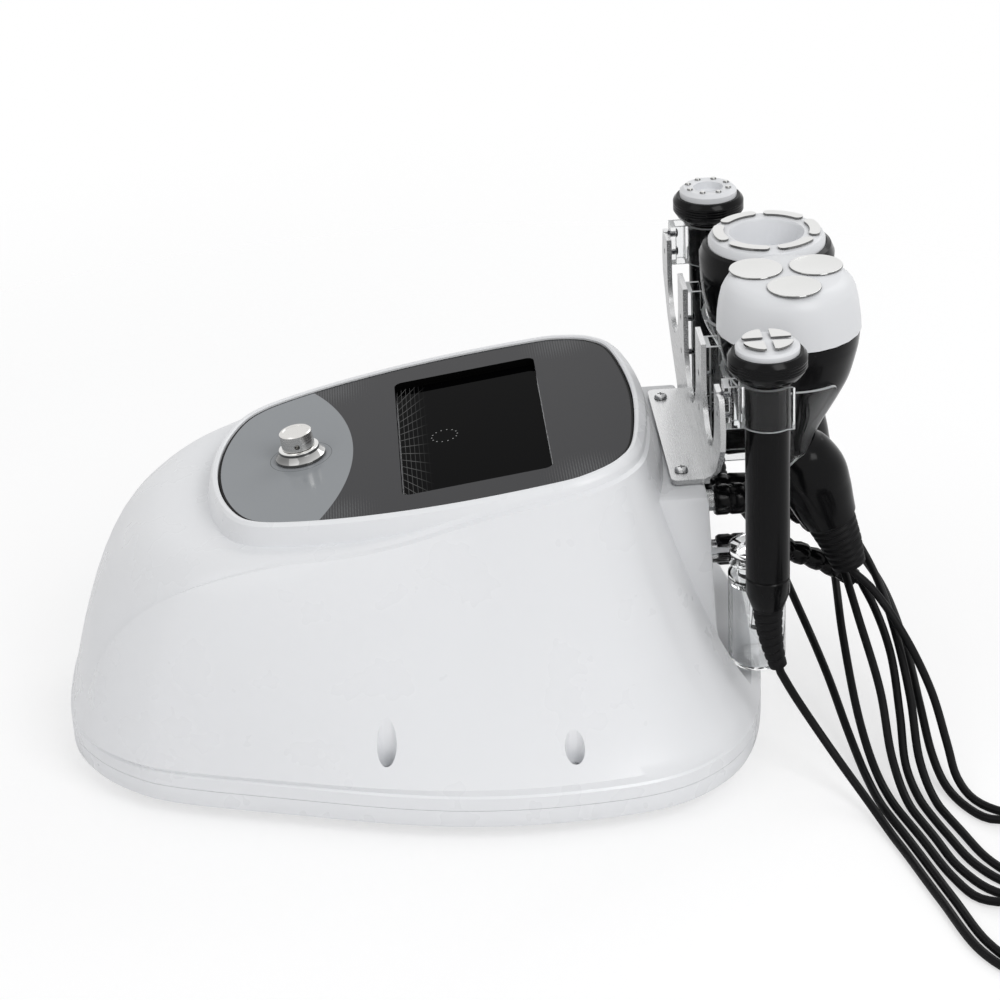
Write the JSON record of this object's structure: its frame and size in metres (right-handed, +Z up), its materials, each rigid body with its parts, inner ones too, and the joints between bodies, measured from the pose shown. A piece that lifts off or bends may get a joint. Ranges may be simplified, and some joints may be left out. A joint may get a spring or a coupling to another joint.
{
  "type": "cavitation slimming machine",
  "caption": "Desk unit with a sloping touch screen and a vacuum knob, whose steel holder carries tripolar, vacuum and two slim radio-frequency handpieces in clear clips, each with its cable and plug.",
  "frame": {"origin": "on the tabletop, under the middle of the machine's box without its cords", "axes": "+Z up, +Y from the user towards the holder at the back, +X to the user's right"},
  "size_m": [0.5133, 0.6645, 0.2854],
  "materials": {
    "white_gloss_abs": "bright white moulded plastic, glossy",
    "dark_panel_acrylic": "printed acrylic overlay, dark grey with a light border, glossy",
    "black_glass": "black touch glass",
    "polished_steel": "satin to polished stainless steel",
    "chrome_plate": "polished chrome plate",
    "nickel_knob": "turned and anodised metal, satin",
    "clear_acrylic": "clear moulded plastic",
    "black_abs": "glossy black moulded plastic",
    "black_rubber": "soft black rubber, matt",
    "white_head": "smooth white plastic",
    "board_green": "circuit board laminate",
    "zinc_case": "zinc and aluminium cases"
  },
  "bodies": {
    "root": {"base_tray": "white_gloss_abs", "top_housing": "white_gloss_abs", "control_panel": "dark_panel_acrylic", "display_window": "black_glass", "lcd_module": "zinc_case", "knob_ring": "chrome_plate", "vacuum_valve": "zinc_case", "holder_bracket": "polished_steel", "bracket_screw_right": "polished_steel", "bracket_screw_left": "polished_steel", "foot_front_right": "black_rubber", "foot_front_left": "black_rubber", "foot_rear_right": "black_rubber", "foot_rear_left": "black_rubber", "clip_small_right": "clear_acrylic", "clip_small_left": "clear_acrylic", "clip_large_right": "clear_acrylic", "clip_large_left": "clear_acrylic", "filter_bottle": "clear_acrylic", "filter_cap": "clear_acrylic", "cable_sockets": "polished_steel", "mains_inlet": "black_abs", "main_board": "board_green", "power_supply": "zinc_case", "vacuum_pump": "zinc_case", "plug_rf_right": "black_abs", "plug_rf_left": "black_abs", "plug_tripolar": "black_abs", "plug_vacuum": "black_abs", "cable_handle_rf_right": "black_rubber", "cable_coil_rf_right": "black_rubber", "cable_plug_rf_right": "black_rubber", "cable_handle_rf_left": "black_rubber", "cable_coil_rf_left": "black_rubber", "cable_plug_rf_left": "black_rubber", "cable_handle_tripolar": "black_rubber", "cable_coil_tripolar": "black_rubber", "cable_plug_tripolar": "black_rubber", "cable_handle_vacuum": "black_rubber", "cable_coil_vacuum": "black_rubber", "cable_plug_vacuum": "black_rubber"},
    "vacuum_knob": {"knob": "nickel_knob", "valve_spindle": "polished_steel"},
    "power_rocker": {"rocker_switch": "black_abs"},
    "rf_handpiece_right": {"rf_tube_right": "black_abs", "rf_face_right": "white_head", "rf_poles_right": "chrome_plate", "rf_relief_right": "black_rubber"},
    "rf_handpiece_left": {"rf_tube_left": "black_abs", "rf_face_left": "white_head", "rf_poles_left": "chrome_plate", "rf_relief_left": "black_rubber"},
    "tripolar_handpiece": {"tripolar_body": "black_abs", "tripolar_cap": "white_head", "tripolar_discs": "chrome_plate", "tripolar_relief": "black_rubber"},
    "vacuum_handpiece": {"vacuum_body": "black_abs", "vacuum_cup": "white_head", "vacuum_poles": "chrome_plate", "vacuum_relief": "black_rubber"}
  },
  "joints": [
    {"name": "knob_turn", "type": "hinge", "parent": "root", "child": "vacuum_knob", "pos_m": [0, -0.0917, 0.18071], "axis": [0, -0.1378, 0.9905], "range_deg": [-135, 135]},
    {"name": "rocker_tilt", "type": "hinge", "parent": "root", "child": "power_rocker", "pos_m": [0.012, 0.14978, 0.064], "axis": [-1, 0, 0], "range_deg": [0, 14]},
    {"name": "rf_right_lift", "type": "slide", "parent": "root", "child": "rf_handpiece_right", "axis": [0, 0, 1], "range_m": [0, 0.15]},
    {"name": "rf_left_lift", "type": "slide", "parent": "root", "child": "rf_handpiece_left", "axis": [0, 0, 1], "range_m": [0, 0.15]},
    {"name": "tripolar_lift", "type": "slide", "parent": "root", "child": "tripolar_handpiece", "axis": [0, 0.6, 0.8], "range_m": [0, 0.08]},
    {"name": "vacuum_lift", "type": "slide", "parent": "root", "child": "vacuum_handpiece", "axis": [0, 0.6, 0.8], "range_m": [0, 0.08]}
  ]
}
